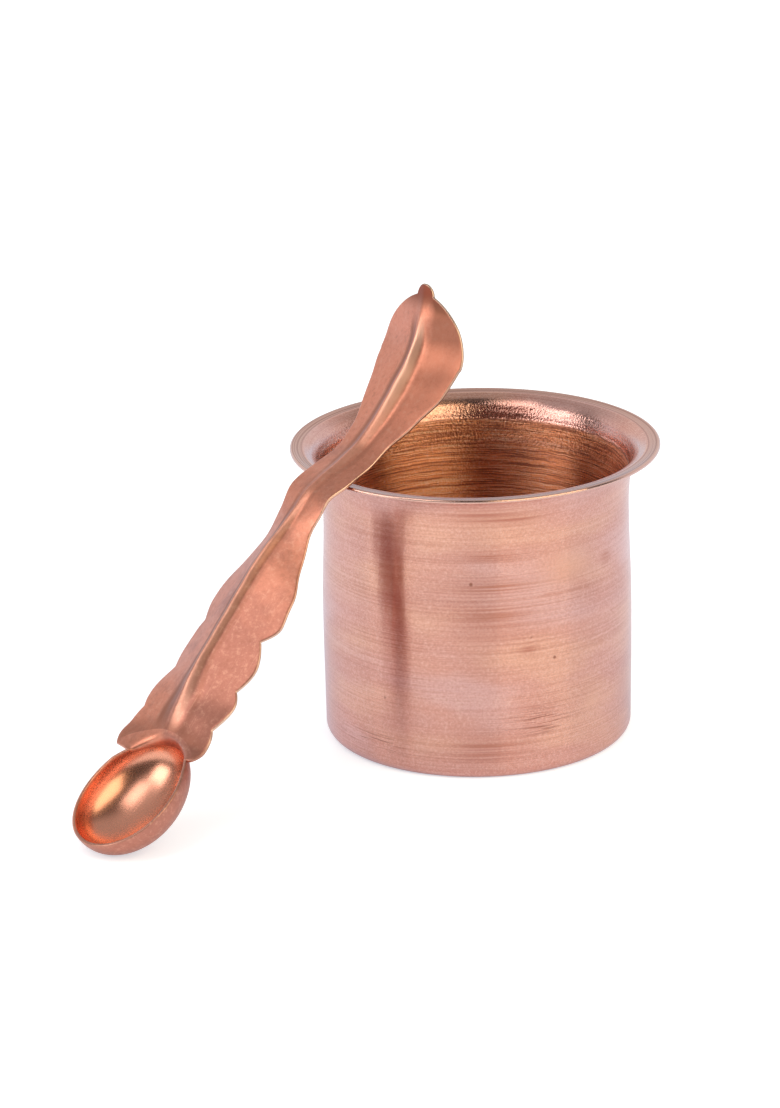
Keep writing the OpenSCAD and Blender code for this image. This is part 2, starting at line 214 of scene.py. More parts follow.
def metal_piece(name, points, faces, attributes, material):
    """A smooth-shaded object at the origin, with one number per point for each attribute."""
    mesh = bpy.data.meshes.new(name)
    mesh.from_pydata(points.tolist(), [], faces)
    mesh.shade_smooth()
    for label, values in attributes.items():
        layer = mesh.attributes.new(label, "FLOAT", "POINT")
        layer.data.foreach_set("value", np.asarray(values, np.float32))
    mesh.materials.append(material)
    piece = bpy.data.objects.new(name, mesh)
    bpy.context.scene.collection.objects.link(piece)
    return piece


class Shade:
    """A socket of a node tree. Arithmetic on shades and numbers adds Math nodes to the tree."""

    def __init__(self, tree, socket=None):
        self.tree = tree
        self.socket = socket

    def node(self, kind, settings=None, sockets=None, output=0):
        """A new node of a type: its settings first, then the value or link of each socket."""
        made = self.tree.nodes.new(kind)
        for name, value in (settings or {}).items():
            setattr(made, name, value)
        for key, value in (sockets or {}).items():
            if isinstance(value, Shade):
                self.tree.links.new(value.socket, made.inputs[key])
            else:
                made.inputs[key].default_value = value
        return Shade(self.tree, made.outputs[output])

    def also(self, output):
        """Another output of the same node."""
        return Shade(self.tree, self.socket.node.outputs[output])

    def attribute(self, name):
        """The number that the mesh keeps at its points under a name."""
        return self.node("ShaderNodeAttribute", {"attribute_name": name}, output="Fac")

    def math(self, operation, first, second=0.0):
        """One operation on two values."""
        return self.node("ShaderNodeMath", {"operation": operation}, {0: first, 1: second})

    def __add__(self, value):
        return self.math("ADD", self, value)

    def __sub__(self, value):
        return self.math("SUBTRACT", self, value)

    def __rsub__(self, value):
        return self.math("SUBTRACT", value, self)

    def __mul__(self, value):
        return self.math("MULTIPLY", self, value)

    __radd__ = __add__
    __rmul__ = __mul__

    def step(self, none, full):
        """Eased step: 0 where the value is at none or beyond it, 1 at full. Either may be the larger."""
        return self.node("ShaderNodeMapRange", {"interpolation_type": "SMOOTHSTEP"},
                         {"Value": self, "From Min": none, "From Max": full})

    def between(self, low, low_full, high_full, high):
        """Eased band: 1 from low_full to high_full, and 0 below low and above high."""
        return self.step(low, low_full) * self.step(high, high_full)

    def tint(self, first, second):
        """Colour that goes from the first to the second as the value goes from 0 to 1."""
        return self.node("ShaderNodeMix", {"data_type": "RGBA"}, {0: self, 6: first, 7: second}, output=2)


def noise(place, scale, detail=2.0, roughness=0.5):
    """Cloudy noise from 0 to 1 at a place, with about that many clouds to a unit of the place."""
    return place.node("ShaderNodeTexNoise", {"normalize": True},
                      {"Vector": place, "Scale": scale, "Detail": detail, "Roughness": roughness})


def stretched(x, y, z):
    """A place put together from three numbers."""
    return x.node("ShaderNodeCombineXYZ", None, {0: x, 1: y, 2: z})


def painted(colour, layers):
    """A first colour under layers of others, each as (strength, colour), laid on in turn."""
    for strength, layer in layers:
        colour = strength.tint(colour, layer)
    return colour


def metal(name, anisotropy, turn):
    """A bare metal material: its shader node and a first shade to grow the node tree from."""
    material = bpy.data.materials.new(name)
    material.use_nodes = True
    shader = material.node_tree.nodes["Principled BSDF"]
    shader.inputs["Metallic"].default_value = 1
    shader.inputs["Anisotropic"].default_value = anisotropy
    shader.inputs["Anisotropic Rotation"].default_value = turn
    return material, shader, Shade(material.node_tree)


relief_depth = 0.00006


def coat(shader, colour, roughness, height, relief):
    """Links what changes over a metal's surface to its shader: colour, roughness, and a height as a bump."""
    normal = height.node("ShaderNodeBump", None,
                         {"Strength": relief, "Distance": relief_depth, "Height": height})
    for name, shade in {"Base Color": colour, "Roughness": roughness, "Normal": normal}.items():
        shade.tree.links.new(shade.socket, shader.inputs[name])


cup_salmon = (0.74, 0.38, 0.305, 1)
cup_rose = (0.55, 0.23, 0.165, 1)
cup_pale = (0.90, 0.57, 0.48, 1)
cup_lilac = (0.78, 0.47, 0.43, 1)
cup_peach = (0.86, 0.48, 0.34, 1)
cup_brown = (0.30, 0.11, 0.07, 1)
cup_orange = (0.95, 0.37, 0.17, 1)
# Pale cream laid along the score lines inside is a painted highlight.
score_highlight_cream = (0.97, 0.74, 0.54, 1)
lip_mauve = (0.60, 0.35, 0.28, 1)

# Heights inside the cup: the upper edge of the scored wall, the ragged line on it, and the grainy zone.
# The dark ring on the lip is a radius. A band gives where it begins, is full, is still full, and ends.
scored_edge = (0.0576, 0.0566)
ragged_band = (0.05675, 0.0570, 0.0570, 0.05725)
ragged_sway = 0.0013
grainy_band = (0.0500, 0.0530, 0.0594, 0.0612)
ring_band = (0.0354, 0.0357, 0.0357, 0.0360)
cup_relief = 0.35


def turned_copper():
    """Satin copper off the lathe.

    Lines follow the distance along the section, so they run round the wall and in rings on the lip.
    Lilac, peach and rose lie in patches along the lines. The inside is more orange, rougher and scored,
    with a grainy zone and a ragged dark line below the flare, and a few dark pits are strewn over the wall.
    Pale cream laid along the score lines is a painted highlight.
    """
    material, shader, start = metal("turned_copper", anisotropy=1, turn=0.25)
    place = start.node("ShaderNodeTexCoord", output="Object")
    spot = place.node("ShaderNodeSeparateXYZ", None, {0: place})
    x, y, height = spot.also(0), spot.also(1), spot.also(2)
    radius = x.math("SQRT", x * x + y * y)
    turning, inside, lip = [start.attribute(name) for name in ("turning", "inside", "lip")]
    rose, scratched, stained = [start.attribute(name) for name in ("rose", "scratched", "stained")]

    def drawn_out(around, over, detail=2, shift=0.0, roughness=0.5):
        """Noise drawn out round the cup, with so many clouds to a metre around it and over its section."""
        return noise(stretched(x * around, y * around, turning * over + shift), 1, detail, roughness)

    hair = drawn_out(30, 5600, detail=1)
    line = drawn_out(16, 2500)
    score = drawn_out(90, 3600, shift=(noise(place, 350, 3) - 0.5) * 2.0, roughness=0.6)
    scratch = drawn_out(110, 3600, detail=1).step(0.56, 0.64)
    band = drawn_out(14, 330)
    patch = drawn_out(60, 170, detail=3)
    hue = drawn_out(30, 75, shift=7)
    grain = noise(place, 2200)
    deep = inside * height.step(*scored_edge)
    smooth = 1 - deep
    ragged = height + (noise(place, 500, 3) - 0.5) * ragged_sway
    torn = inside * ragged.between(*ragged_band) * noise(place, 90).step(0.25, 0.4)
    grainy = inside * height.between(*grainy_band)
    ring = inside * radius.between(*ring_band)
    pit = place.node("ShaderNodeTexVoronoi", {"feature": "F1"}, {"Vector": place, "Scale": 150.0})
    pitted = pit.step(0.08, 0.03) * noise(place, 40).step(0.56, 0.62)
    colour = painted(cup_salmon, [
        (deep, cup_orange),
        (hue.step(0.48, 0.66) * smooth * 0.8, cup_lilac),
        (hue.step(0.5, 0.32) * smooth * 0.7, cup_peach),
        (band.step(0.5, 0.75) * 0.15, cup_pale),
        (inside * smooth * 0.06, cup_rose),
        (patch.step(0.4, 0.65) * line.step(0.52, 0.64) * 0.32, cup_rose),
        (line.step(0.46, 0.32) * 0.12, cup_pale),
        (hair.step(0.55, 0.3) * 0.32, cup_rose),
        (grain.step(0.5, 0.7) * 0.4, cup_pale),
        (grain.step(0.5, 0.3) * 0.28, cup_rose),
        (rose * (0.35 + line.step(0.4, 0.6) * 0.6), cup_rose),
        (stained * 0.6, cup_peach),
        (scratched * scratch * 0.8, cup_brown),
        (lip * 0.8, lip_mauve),
        (lip * inside * line.step(0.5, 0.58) * 0.6, cup_brown),
        (lip * (1 - inside) * 0.6, cup_pale),
        (deep * score.step(0.48, 0.6) * 0.75, cup_brown),
        # Painted highlight: pale cream along the score lines stands in for glints.
        (deep * score.step(0.45, 0.35) * 0.4, score_highlight_cream),
        (grainy * grain.step(0.5, 0.35) * (0.15 + deep * 0.35), cup_brown),
        (torn * 0.85 + pitted * 0.8 + ring * 0.6, cup_brown)])
    roughness = 0.18 + line * 0.04 + patch * 0.04 + deep * 0.17 - inside * smooth * 0.03
    raised = hair * 0.3 + line * 0.25 + band * (0.25 + deep * 1.2)
    raised = raised + deep * (score * 7 + grain * 3) + grainy * grain * 5
    sunk = pitted + torn * 1.5 + ring + scratched * scratch
    coat(shader, colour, roughness, raised - sunk, cup_relief)
    return material


water_cup = metal_piece("spun_cup", *cup_surface(), turned_copper())
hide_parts("water_cup")
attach(water_cup, "cup")

# Offering spoon
# One piece of copper sheet, stamped to its outline with scallops and a leaf, pressed into a bowl and a
# folded handle with a rib along the crest, and bent by hand. The sheared edges are worn bright.
spoon_sheet = 0.0007
bowl_length = 0.0284
bowl_width = 0.0234
bowl_depth = 0.0091
bowl_egg = 0.06
bowl_flatness = 0.85
bowl_turn = np.radians(10.5)
bowl_shift = 0.0008
heel_angle = np.radians(45)
heel_fade = 0.014

# Spine of the handle: each stretch as its length and how far it bends up, in degrees.
stem_rise = 14.5
heel_lift = 21
bend_angle = 16
leaf_curl = 57
bend_length = 0.005
bend_start = 0.054
seat_distance = 0.010
leaf_start = 0.080
handle_length = 0.109
spine = [(0.001, heel_lift), (0.003, 0), (0.003, stem_rise - heel_lift), (0.047, 0),
         (bend_length, -bend_angle), (0.021, 0), (0.029, leaf_curl)]

# Outline of the handle: corners, three scallops with sharp notches, a long lobe, the neck, the swelling
# on the lip, and the leaf with its round nub.
corner_half_width = 0.011
corner_cut = 0.0012
corner_ease = 0.002
notches = [0, 0.006, 0.0144, 0.0255]
notch_half_width = 0.0088
scallop_depth = 0.0015
full_scallop = 0.009
lobe_rise = 0.0046
lobe_half_width = 0.0109
neck_half_width = 0.0056
swell_half_width = 0.0065
leaf_half_width = 0.0118
leaf_round = 0.0124
leaf_point = 0.6
nub_half_width = 0.0023
nub_root = 0.0004
nub_length = 0.0024
tip_edge = 0.00005
lobe_place = notches[-1] + lobe_rise
neck_place = bend_start - 0.0035
seat_place = bend_start + seat_distance
waist_place = seat_place + 0.007
leaf_tip = handle_length - nub_length
leaf_widest = leaf_tip - leaf_round
outline = [(0, corner_half_width), (lobe_place, lobe_half_width), (neck_place, neck_half_width),
           (seat_place, swell_half_width), (waist_place, (neck_half_width + swell_half_width) / 2),
           (leaf_widest, leaf_half_width)]

# Cross section of the handle along its length, as (distance, size): how far the blades fall, how high the
# crest lies, and the rib's height and half width. The last line says how strongly the painted shade and
# highlight along the rib show.
roof_full = 0.018
roof_end = bend_start - 0.016
flat_place = bend_start + seat_distance / 2
leaf_place = leaf_start + 0.009
rib_end = leaf_tip - 0.003
roof_line = [(0, 0.0006), (roof_full, 0.0051), (roof_end, 0.0051), (flat_place, 0.0008),
             (waist_place, 0.0016), (leaf_place, 0.0031), (leaf_widest, 0.0031), (handle_length, 0.0014)]
crest_line = [(0, 0.0002), (roof_full, 0.0021), (roof_end, 0.0021), (bend_start + bend_length / 2, 0),
              (waist_place, -0.0012), (leaf_place, 0.0016), (leaf_widest + leaf_round / 2, 0.0016),
              (handle_length, 0.001)]
rib_line = [(0, 0.0002), (0.010, 0.0008), (bend_start - 0.008, 0.0007), (flat_place, 0.0003),
            (leaf_place, 0.0014), (leaf_widest, 0.0013), (rib_end, 0.0002)]
rib_width_line = [(0.004, 0.0024), (0.020, 0.0012), (flat_place, 0.0011), (waist_place, 0.0016),
                  (leaf_place, 0.0019), (leaf_widest, 0.0016), (leaf_tip, 0.0014)]
rib_shading_line = [(0, 0), (0.005, 1), (bend_start - 0.006, 1), (flat_place, 0.4), (waist_place, 0.8),
               (leaf_place, 1), (leaf_widest + leaf_round / 3, 1), (rib_end, 0)]
crest_round = 0.25
foot_round = 0.2
fold_radius = 0.0012


def eased(places, s):
    """Value at distance s: half a cosine wave from each (distance, value) to the next, level beyond them."""
    total = places[0][1]
    for (start, first), (end, last) in zip(places, places[1:]):
        share = np.clip((s - start) / (end - start), 0, 1)
        total = total + (last - first) * (1 - np.cos(np.pi * share)) / 2
    return total


def along_spine(s):
    """Place and slope (x, z, angle) on the spine at distance s: arcs and straight lines, end to end."""
    x, z, slope = np.minimum(s, 0), np.zeros_like(s), np.zeros_like(s)
    begun, heading = 0, 0
    for length, degrees in spine:
        gone = np.clip(s - begun, 0, length)
        bend = np.radians(degrees)
        turn = bend * gone / length
        if degrees:
            x = x + length / bend * (np.sin(heading + turn) - np.sin(heading))
            z = z - length / bend * (np.cos(heading + turn) - np.cos(heading))
        else:
            x = x + gone * np.cos(heading)
            z = z + gone * np.sin(heading)
        slope = slope + turn
        begun, heading = begun + length, heading + bend
    return x, z, slope


def round_end(s, start, length, power=0.5):
    """Half of a round end: 1 at its start and 0 at its end. A power above a half makes it more pointed."""
    return np.maximum(0, 1 - ((s - start) / length) ** 2) ** power


def half_width(s):
    """Half of the handle's width at distance s.

    Up to the last notch it is a straight line with an arch between each two notches, then a quarter wave
    up to the long lobe, the eased outline, and two round ends for the leaf and its nub.
    """
    scallops = corner_half_width + (notch_half_width - corner_half_width) * s / notches[-1]
    for start, end in zip(notches, notches[1:]):
        share = np.clip((s - start) / (end - start), 0, 1)
        scallops = scallops + scallop_depth * min(1, (end - start) / full_scallop) * 4 * share * (1 - share)
    scallops = scallops - corner_cut * np.clip(1 - s / corner_ease, 0, 1) ** 2
    climb = np.clip((s - notches[-1]) / lobe_rise, 0, 1)
    lobe = notch_half_width + (lobe_half_width - notch_half_width) * np.sin(np.pi / 2 * climb)
    nub_start = leaf_tip - nub_root
    nub = nub_half_width * round_end(np.maximum(s, nub_start), nub_start, nub_length + nub_root + tip_edge)
    leaf = leaf_half_width * round_end(np.minimum(s, leaf_tip), leaf_widest, leaf_round, leaf_point)
    stretches = [s < notches[-1], s < lobe_place, s < leaf_widest]
    return np.select(stretches, [scallops, lobe, eased(outline, s)], np.hypot(leaf, nub))


def off_fold(y):
    """Distance y from the crest, eased near 0, so that two blades meet in a rounded fold."""
    return np.sqrt(y ** 2 + fold_radius ** 2) - fold_radius


def rib_height(share):
    """Height of the rib at a share of its half width: 1 on the crest and 0 past the feet.

    The flanks between are straight, and square roots round the crest and the feet.
    """
    flank = 1 + crest_round - np.sqrt(share ** 2 + crest_round ** 2)
    return (flank + np.sqrt(flank ** 2 + foot_round ** 2)) / 2


# Unevenness left by the hand: wander of the edges, which starts and ends gently, and waves in the blades.
edge_wander = 0.00012
wander_pitch = 0.0083
wander_lag = 1.3
wander_start = 0.004
wander_end = 0.012
blade_wave = 0.00006
waves_along = (0.0016, 0.0027)
waves_across = (0.0021, -0.0034)


def handle_top(s, v):
    """Point of the handle's top at distance s, with v from -1 at one edge to 1 at the other.

    Two sloping blades fall away from the crest and a rib stands on their fold. Near the bowl
    the rows follow the round, askew heel of the bowl.
    """
    wander = edge_wander * v * np.sin(2 * np.pi * s / wander_pitch + wander_lag * np.sign(v))
    tame = np.clip(s / wander_start, 0, 1) * np.clip((handle_length - s) / wander_end, 0, 1)
    y = v * half_width(s) + wander * tame
    rib = eased(rib_line, s)
    slope = (eased(roof_line, s) - rib) / off_fold(eased(outline, s))
    drop = slope * off_fold(y) + rib * (1 - rib_height(y / eased(rib_width_line, s))) - eased(crest_line, s)
    waves = [np.sin(s / length + y / width) for length, width in zip(waves_along, waves_across)]
    drop = drop + blade_wave * waves[0] * waves[1]
    fade = np.maximum(0, 1 - s / heel_fade) ** 2
    heel_round = bowl_radii[0] * (1 - np.cos(heel_angle * v))
    heel_skew = bowl_radii[1] * np.sin(heel_angle) * np.sin(bowl_turn) * v
    x, z, angle = along_spine(s - fade * (heel_round + heel_skew))
    return np.stack([x + drop * np.sin(angle), y, z - drop * np.cos(angle)], axis=-1)


bowl_radii = np.array([bowl_length / 2, bowl_width / 2, bowl_depth]) - spoon_sheet


def bowl_inside(t, a):
    """Point inside the bowl: half an ellipsoid, with t from 0 at the bottom to 90 degrees at the rim.

    The angle a goes round. A power of the cosine flattens the bottom. The bowl is a little narrower at
    the heel, and set askew and to one side of the handle.
    """
    x = bowl_radii[0] * (np.sin(t) * np.cos(a) - 1)
    y = bowl_radii[1] * np.sin(t) * np.sin(a) * (1 - bowl_egg * np.cos(a))
    z = -bowl_radii[2] * np.maximum(np.cos(t), 0) ** bowl_flatness
    return np.stack([x * np.cos(bowl_turn) - y * np.sin(bowl_turn),
                     x * np.sin(bowl_turn) + y * np.cos(bowl_turn) - bowl_shift, z], axis=-1)


# How the spoon leans: from the bowl's rim to the table and the lip.
lean = np.radians(33.588)
spoon_heading = np.radians(41)
heel_reach = 0.08175
heel_height = 0.01854
side_offset = 0.0013


def leaned(points):
    """Points of the spoon's own frame put where it leans: turned up about Y, moved, then turned about Z."""
    x, y, z = points.T
    x, z = x * np.cos(lean) - z * np.sin(lean) - heel_reach, x * np.sin(lean) + z * np.cos(lean) + heel_height
    y = y + side_offset
    return np.column_stack([x * np.cos(spoon_heading) - y * np.sin(spoon_heading),
                            x * np.sin(spoon_heading) + y * np.cos(spoon_heading), z])


# The rounded fold at the heel, and the rings and rows of points in each stretch of the sheet.
heel_fold = 0.0016
heel_fold_at_corner = 0.0003
fold_run_out = 1 / 3
bowl_rings = 36
bowl_segments = 256
heel_segments = bowl_segments // 8
fold_rows = 7
first_scallop_rows = 16
second_scallop_rows = 24
third_scallop_rows = 28
stem_rows = 120
leaf_rows = 24
nub_rows = 8
crowding = 1.4
edge_rows = 6
edge_bulge = 0.3


def heel_fold_width(a):
    """Width of the rounded fold between bowl and handle at the angle a round the bowl.

    It follows the root of a cosine, widest at the middle of the heel, and runs out past the heel's ends.
    """
    share = np.abs(np.angle(np.exp(1j * a))) / heel_angle
    arch = np.cos(np.pi / 2 * np.minimum(share, 1)) ** 0.5
    inner = heel_fold_at_corner + (heel_fold - heel_fold_at_corner) * arch
    return inner * np.clip((1 + fold_run_out - share) / fold_run_out, 0, 1)


def row_places():
    """Where the handle's rows lie, with a row on each notch and close rows at the tip.

    The rows of the first scallop are shares of it, crowded towards the heel, and the others are distances.
    """
    first, second, third = notches[1:]
    leaf_turn = np.linspace(0, np.pi / 2, leaf_rows + 1)[1:]
    nub_turn = np.linspace(0, np.pi / 2, nub_rows + 1)[1:]
    shares = np.linspace(0, 1, first_scallop_rows + 1)[1:] ** crowding
    return shares, np.r_[np.linspace(first, second, second_scallop_rows + 1)[1:],
                         np.linspace(second, third, third_scallop_rows + 1)[1:],
                         np.linspace(third, leaf_widest, stem_rows + 1)[1:],
                         leaf_widest + leaf_round * np.sin(leaf_turn),
                         leaf_tip + nub_length * np.sin(nub_turn)]


def spoon_top():
    """Top of the sheet in the spoon's own frame: points, faces, the edge's loop of points, and distances.

    Rings of the bowl lead to its rim. On the heel each column goes on over a rounded fold, a quadratic
    curve with its corner on the rim, and then up the handle row by row.
    """
    a = np.linspace(0, 2 * np.pi, bowl_segments, endpoint=False)
    ring_share = np.linspace(0, 1, bowl_rings + 1)[1:]
    rim = np.pi / 2 - heel_fold_width(a) / bowl_radii[2]
    t = rim[None, :] * ring_share[:, None]
    rings = bowl_inside(t, np.broadcast_to(a, t.shape))
    share = np.linspace(-1, 1, 2 * heel_segments + 1)
    v = np.sign(share) * np.abs(share) ** crowding
    heel = heel_angle * share
    width = heel_fold_width(heel)
    low = bowl_inside(np.pi / 2 - width / bowl_radii[2], heel)
    corner = bowl_inside(np.full_like(heel, np.pi / 2), heel)
    high = handle_top(width, v)
    u = np.linspace(0, 1, fold_rows + 1)[1:, None, None]
    fold = low * (1 - u) ** 2 + corner * 2 * u * (1 - u) + high * u ** 2
    ramp, places = row_places()
    near = width + (notches[1] - width) * ramp[:, None]
    far = np.broadcast_to(places[:, None], (len(places), len(v)))
    s = np.vstack([near, far])
    handle = handle_top(s, np.broadcast_to(v, s.shape))
    points = np.vstack([bowl_inside(np.zeros(1), np.zeros(1)), rings.reshape(-1, 3), fold.reshape(-1, 3),
                        handle.reshape(-1, 3)])
    ring_ids = 1 + np.arange(bowl_rings * bowl_segments).reshape(bowl_rings, bowl_segments)
    rows = fold_rows + len(s)
    row_ids = 1 + ring_ids.size + np.arange(rows * len(v)).reshape(rows, len(v))
    heel_ids = ring_ids[-1, np.arange(-heel_segments, heel_segments + 1)]
    row_ids = np.vstack([heel_ids, row_ids])
    ahead = np.roll(ring_ids, -1, axis=1)
    fan = np.column_stack([np.zeros(bowl_segments, int), ring_ids[0], ahead[0]])
    bowl_quads = np.stack([ring_ids[:-1], ring_ids[1:], ahead[1:], ahead[:-1]], axis=-1).reshape(-1, 4)
    handle_quads = np.stack([row_ids[:-1, :-1], row_ids[1:, :-1], row_ids[1:, 1:], row_ids[:-1, 1:]],
                            axis=-1).reshape(-1, 4)
    loop = np.r_[ring_ids[-1, heel_segments:bowl_segments - heel_segments + 1], row_ids[1:, 0],
                 row_ids[-1, 1:], row_ids[-2:0:-1, -1]]
    distance = np.r_[-bowl_radii[0], np.repeat((ring_share - 1) * bowl_radii[0], bowl_segments),
                     np.zeros(fold_rows * len(v)), s.ravel()]
    return points, fan, np.vstack([bowl_quads, handle_quads]), loop, distance


def point_normals(points, fan, quads):
    """Unit normals at the points: the crossed diagonals of the faces around each, added up.

    A triangle's second diagonal leads from its second corner to its first.
    """
    total = np.zeros_like(points)
    for faces in (fan, quads):
        corners = faces.shape[1]
        corner = points[faces]
        normal = np.cross(corner[:, 2] - corner[:, 0], corner[:, 3 % corners] - corner[:, 1])
        np.add.at(total, faces.ravel(), np.repeat(normal, corners, axis=0))
    return total / np.linalg.norm(total, axis=1, keepdims=True)


def spoon_surface():
    """Points, faces and attributes of the closed sheet.

    The underside lies one sheet below the top along its normals, and a bulging strip of half an ellipse
    closes the edge all the way round.
    """
    top, fan, quads, loop, distance = spoon_top()
    normal = point_normals(top, fan, quads)
    under = top - spoon_sheet * normal
    run = np.roll(top[loop], -1, axis=0) - np.roll(top[loop], 1, axis=0)
    outward = np.cross(run, normal[loop])
    outward /= np.linalg.norm(outward, axis=1, keepdims=True)
    sweep = np.linspace(0, np.pi, edge_rows + 1)[1:-1, None, None]
    strip = (top[loop] * (1 + np.cos(sweep)) + under[loop] * (1 - np.cos(sweep))) / 2
    strip = strip + edge_bulge * spoon_sheet * np.sin(sweep) * outward
    points = np.vstack([top, under, strip.reshape(-1, 3)])
    count = len(top)
    bands = np.vstack([loop, 2 * count + np.arange((edge_rows - 1) * len(loop)).reshape(edge_rows - 1, -1),
                       loop + count])
    ahead = np.roll(bands, -1, axis=1)
    edge_quads = np.stack([bands[:-1], ahead[:-1], ahead[1:], bands[1:]], axis=-1).reshape(-1, 4)[:, ::-1]
    faces = (fan.tolist() + quads.tolist() + (fan[:, ::-1] + count).tolist()
             + (quads[:, ::-1] + count).tolist() + edge_quads.tolist())
    edge = np.r_[np.zeros(2 * count), np.ones(len(points) - 2 * count)]
    along = np.r_[distance, distance, np.tile(distance[loop], edge_rows - 1)]
    across = np.r_[top[:, 1], top[:, 1], np.tile(top[loop, 1], edge_rows - 1)]
    hollow = np.r_[distance < 0, np.zeros(len(points) - count)]
    underside = np.r_[np.zeros(count), np.ones(count), np.zeros(len(points) - 2 * count)]
    ridge = across / eased(rib_width_line, along)
    ribbed = eased(rib_shading_line, along)
    return leaned(points), faces, {"along": along, "across": across, "sheared_edge": edge, "hollow": hollow,
                                   "underside": underside, "ridge": ridge, "ribbed": ribbed}


spoon_orange = (0.75, 0.30, 0.20, 1)
spoon_rose = (0.46, 0.195, 0.15, 1)
spoon_peach = (0.84, 0.47, 0.34, 1)
spoon_brown = (0.34, 0.13, 0.08, 1)
spoon_red = (0.30, 0.06, 0.035, 1)
leaf_orange = (0.82, 0.32, 0.21, 1)
bowl_red = (0.93, 0.44, 0.30, 1)
# Pale peach painted along the rib's bright flank as a highlight.
flank_highlight_peach = (0.99, 0.56, 0.40, 1)
spoon_bright = (0.94, 0.72, 0.56, 1)

# Where the finish changes along the handle and across it, from none to full. Among them are the painted
# shade on one side of the leaf and under the handle.
rosy_stretch = (0.046, 0.022)
rosy_side = (0.0015, -0.0005)
leaf_stretch = (waist_place, leaf_start + 0.003)
# How the rib's painted highlight grows onto the leaf.
leaf_highlight_rise = (leaf_start - 0.006, leaf_place)
# Painted shade on one side of the leaf.
leaf_shade_stretch = (leaf_widest - 0.016, leaf_widest + 0.002)
leaf_shade_side = (-0.002, -0.004)
dark_tip = (leaf_tip - 0.004, leaf_tip)
red_tip = (leaf_tip - 0.002, leaf_tip + 0.001)
# Painted shade under the handle.
underside_shade_stretch = (0.002, 0.016)
bright_edge = (0.001, 0.006)
heel_crease = (0.0002, 0.001, 0.002, 0.005)

# Bands of painted shade and painted highlight along the rib, in its own half widths from the crest: where
# each begins, is full, and ends.
painted_shade_flank = (0.2, 0.6, 1.5, 2.2)
painted_highlight_flank = (-1.2, -0.7, -0.1, 0.15)
painted_shade_foot = (-2.3, -1.7, -1.5, -1.1)
spoon_relief = 0.3


def stamped_copper():
    """Satin copper from the press.

    Soft clouds of rose, specks of peach and brown, and short scratches lie along the handle. One flank of
    the rib is painted dark as shade, a painted shade line runs at the foot of the other, and that other flank
    carries a painted highlight. The leaf is more orange, painted darker at one side as shade, and dark at
    the nub. The bowl is paler inside, the handle's underside is painted dark red as shade, and the sheared
    edge is bright.
    """
    material, shader, start = metal("stamped_copper", anisotropy=0, turn=0)
    place = start.node("ShaderNodeTexCoord", output="Object")
    along, across, edge = [start.attribute(name) for name in ("along", "across", "sheared_edge")]
    hollow, under = [start.attribute(name) for name in ("hollow", "underside")]
    ridge, ribbed = [start.attribute(name) for name in ("ridge", "ribbed")]
    cloud = noise(place, 130, 4, 0.6)
    grain = noise(place, 2600)
    speck = noise(place, 900, 4, 0.8)
    scratch = noise(stretched(along * 160, across * 3800, across * 90), 1)
    open_face = 1 - hollow
    # Painted shade: one side of the leaf is darkened, and the nub is darker.
    leaf_shade_and_dark_nub = along.step(*leaf_shade_stretch) * across.step(*leaf_shade_side) * 0.7 + along.step(*dark_tip) * 0.85
    colour = painted(spoon_orange, [
        (cloud.step(0.42, 0.72) * 0.6, spoon_rose),
        (along.step(*rosy_stretch) * across.step(*rosy_side) * open_face * 0.75, spoon_rose),
        (along.step(*leaf_stretch) * 0.8, leaf_orange),
        (open_face * speck.step(0.51, 0.66) * 0.36, spoon_peach),
        (scratch.step(0.62, 0.76) * 0.3, spoon_peach),
        (open_face * speck.step(0.49, 0.34) * 0.24, spoon_brown),
        # Painted shade: the dark flank of the rib.
        (ribbed * ridge.between(*painted_shade_flank) * 0.85, spoon_brown),
        # Painted shade: a brown line at the foot of the bright flank.
        (ribbed * ridge.between(*painted_shade_foot) * 0.35, spoon_brown),
        # Painted highlight: the bright flank of the rib, stronger on the leaf.
        (ribbed * ridge.between(*painted_highlight_flank) * (0.3 + along.step(*leaf_highlight_rise) * 0.6), flank_highlight_peach),
        # Painted shade on one side of the leaf, and the darker nub.
        (leaf_shade_and_dark_nub, spoon_brown),
        (along.step(*red_tip) * 0.6, spoon_red),
        (open_face * along.between(*heel_crease) * 0.45, spoon_brown),
        (hollow * 0.7, bowl_red),
        # Painted shade: the underside of the handle is dark red.
        (under * along.step(*underside_shade_stretch) * 0.9, spoon_red),
        (edge * (0.1 + along.step(*bright_edge) * 0.5), spoon_bright)])
    roughness = 0.34 + cloud * 0.08 + grain * 0.06 - edge * 0.08 - hollow * 0.14
    raised = grain * 0.3 + open_face * speck * 0.6 - scratch.step(0.6, 0.8) * 0.4
    coat(shader, colour, roughness, raised, spoon_relief)
    return material


offering_spoon = metal_piece("stamped_spoon", *spoon_surface(), stamped_copper())
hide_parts("offering_spoon")
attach(offering_spoon, "spoon")

# Table and light
# A pale matt table in a studio with three soft lamps. The camera sees the table and the room as white,
# the metal mirrors a cool sweep of paper and a grey room, and the table keeps the soft shadow.
table_reach = 3.0
table_colour = (0.75, 0.75, 0.75, 1)
table_white = (0.46, 0.5, 0.54, 1)
left_glow = (0.26, 0.29, 0.33, 1)
right_glow = (0.17, 0.19, 0.24, 1)
back_glow = (0.14, 0.22, 0.36, 1)
no_glow = (0, 0, 0, 1)
left_to_right = (-0.06, 0)
front_to_back = (-0.1, 0.02)


def looking_rays(start):
    """Two shades, 1 for the rays of the camera and 1 for those that a mirror or a glass sends on."""
    seen = start.node("ShaderNodeLightPath", output="Is Camera Ray")
    return seen, start.math("MAXIMUM", seen.also("Is Glossy Ray"), seen.also("Is Transmission Ray"))


